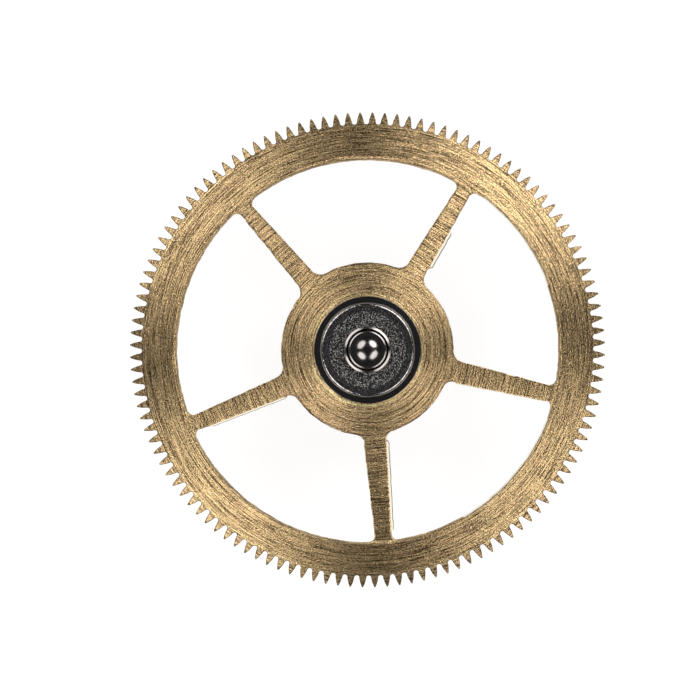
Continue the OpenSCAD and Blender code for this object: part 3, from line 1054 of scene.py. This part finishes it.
# The grain from and to, and the roughness from and to.
STAFF_ROUGHNESS = (0.3, 0.7, 0.14, 0.18)
staff_steel, tree, shader = new_material("staff_steel")
place = add_node(tree, "ShaderNodeTexCoord").outputs["Object"]
turning = grain(tree, place, *STAFF_LINES).outputs["Grain"]
tree.links.new(ramp(tree, turning, STAFF_TONES), shader.inputs["Base Color"])
tree.links.new(graded(tree, turning, *STAFF_ROUGHNESS), shader.inputs["Roughness"])
shader.inputs["Metallic"].default_value = 1.0
print(staff_steel.name, "has", len(tree.nodes), "nodes")

# %% Give each piece its material
for piece, material in (
    (brass_wheel, brass),
    (pinion_body, pinion_steel),
    (pinion_leaves, pinion_steel),
    (staff, staff_steel),
):
    piece.data.materials.append(material)
    print(piece.name, "has", material.name)

# %% [markdown]
# ## The studio
# The wheel was photographed through a lens with four soft lamps round it. One large lamp would be
# simpler, but the four bright sectors and the four spots on the dome need four. A mirror of steel
# shows whatever is above it, so the sky is dark overhead and pale only near the horizon. The floor
# is a plain pale disc below the post. It glows for the camera and in reflections only, so it is
# white without lighting the metal, and from below it is clear, so that the part can be looked at
# from there too.

# %% Make the floor
FLOOR_Z = -4.3
FLOOR_R = 400
FLOOR_SIDES = 96
floor_rim = arc([0, 0], FLOOR_R, 0, 360, FLOOR_SIDES)[:-1]
floor_rim = np.column_stack([floor_rim, np.full(FLOOR_SIDES, FLOOR_Z)]) * MM
floor_mesh = bpy.data.meshes.new("floor")
floor_mesh.from_pydata(floor_rim.tolist(), [], [list(range(FLOOR_SIDES))])
floor = bpy.data.objects.new("floor", floor_mesh)
bpy.context.scene.collection.objects.link(floor)
print("floor at z", FLOOR_Z, "mm")

# %% Make the floor's paper
FLOOR_GLOW = 0.85
FLOOR_GREY = (0.3, 0.3, 0.3, 1)
floor_paper, tree, shader = new_material("floor_paper")
path = add_node(tree, "ShaderNodeLightPath")
seen = reckoned(tree, "ADD", path.outputs["Is Camera Ray"], path.outputs["Is Glossy Ray"])
seen = reckoned(tree, "ADD", seen, path.outputs["Is Transmission Ray"], use_clamp=True)
shader.inputs["Emission Color"].default_value = (1, 1, 1, 1)
tree.links.new(reckoned(tree, "MULTIPLY", seen, FLOOR_GLOW), shader.inputs["Emission Strength"])
shader.inputs["Base Color"].default_value = FLOOR_GREY
shader.inputs["Roughness"].default_value = 1.0
shader.inputs["Specular IOR Level"].default_value = 0.0
underside = add_node(tree, "ShaderNodeNewGeometry").outputs["Backfacing"]
clear = add_node(tree, "ShaderNodeBsdfTransparent").outputs[0]
one_sided = add_node(tree, "ShaderNodeMixShader", {0: underside, 1: shader.outputs[0], 2: clear})
tree.links.new(one_sided.outputs[0], tree.nodes["Material Output"].inputs["Surface"])
floor.data.materials.append(floor_paper)
print(floor_paper.name, "has", len(tree.nodes), "nodes")

# %% Hang the four lamps
# Azimuth in degrees, width in mm, and share of the power.
LAMPS = {
    "north_east": (48, 33, 1.08),
    "north_west": (139, 37, 0.76),
    "south_west": (225, 33, 0.75),
    "south_east": (321, 39, 0.81),
}
LAMP_TILT = 32
LAMP_DISTANCE = 60
LAMP_DEPTH = 22
LAMP_POWER = 0.0102
LAMP_COLOUR = (1.0, 0.96, 0.92)
CAMERA_ROLL = 13.2
for name, (azimuth, width, share) in LAMPS.items():
    data = bpy.data.lights.new(name, "AREA")
    data.shape, data.size, data.size_y = "ELLIPSE", width * MM, LAMP_DEPTH * MM
    data.energy, data.color = LAMP_POWER * share, LAMP_COLOUR
    lamp = bpy.data.objects.new(name, data)
    across = polar(np.sin(np.radians(LAMP_TILT)), azimuth + CAMERA_ROLL)
    place = Vector((*across, np.cos(np.radians(LAMP_TILT))))
    lamp.location = place * LAMP_DISTANCE * MM
    lamp.rotation_euler = place.to_track_quat("Z", "Y").to_euler()
    lamp.visible_camera = False
    bpy.context.scene.collection.objects.link(lamp)
print("lamps:", ", ".join(LAMPS), "-", LAMP_TILT, "degrees from straight above")

# %% Paint the sky
SKY_GREYS = [(0.0, 0.7), (0.15, 0.6), (0.32, 0.055), (0.6, 0.045), (0.85, 0.02), (1.0, 0.018)]
world = bpy.data.worlds.new("studio")
world.use_nodes = True
bpy.context.scene.world = world
tree = world.node_tree
direction = add_node(tree, "ShaderNodeTexCoord").outputs["Generated"]
height = add_node(tree, "ShaderNodeSeparateXYZ", {"Vector": direction}).outputs["Z"]
tree.links.new(ramp(tree, height, SKY_GREYS), tree.nodes["Background"].inputs["Color"])
tree.nodes["Background"].inputs["Strength"].default_value = 1.0
print("sky:", SKY_GREYS[0][1], "at the horizon,", SKY_GREYS[-1][1], "overhead")

# %% [markdown]
# ## The camera
# The lens looks straight down the axis. An orthographic camera would be simpler, but it would hide
# the upright inner wall of the rim. From this height that wall and the leaning ones show as thin
# lines, as wide as they should be. The picture is turned a little against the spokes, and shifted
# by a few of its 700 pixels.

# %% Set up the camera
CAMERA_HEIGHT = 22
VIEW_WIDTH = 14.505
SENSOR_W = 36
PICTURE_W = 700
SHIFT_PX = (-17.55, -0.1)
camera = bpy.data.objects.new("camera", bpy.data.cameras.new("camera"))
camera.data.sensor_width = SENSOR_W
camera.data.lens = SENSOR_W * CAMERA_HEIGHT / VIEW_WIDTH
camera.data.shift_x = SHIFT_PX[0] / PICTURE_W
camera.data.shift_y = SHIFT_PX[1] / PICTURE_W
camera.data.clip_start = 1 * MM
camera.data.clip_end = 1
camera.location = (0, 0, (PLATE_TOP + CAMERA_HEIGHT) * MM)
camera.rotation_euler = (0, 0, np.radians(CAMERA_ROLL))
bpy.context.scene.collection.objects.link(camera)
bpy.context.scene.camera = camera
bpy.context.scene.view_settings.view_transform = "Standard"
print("lens", round(camera.data.lens, 2), "mm on a", SENSOR_W, "mm sensor")
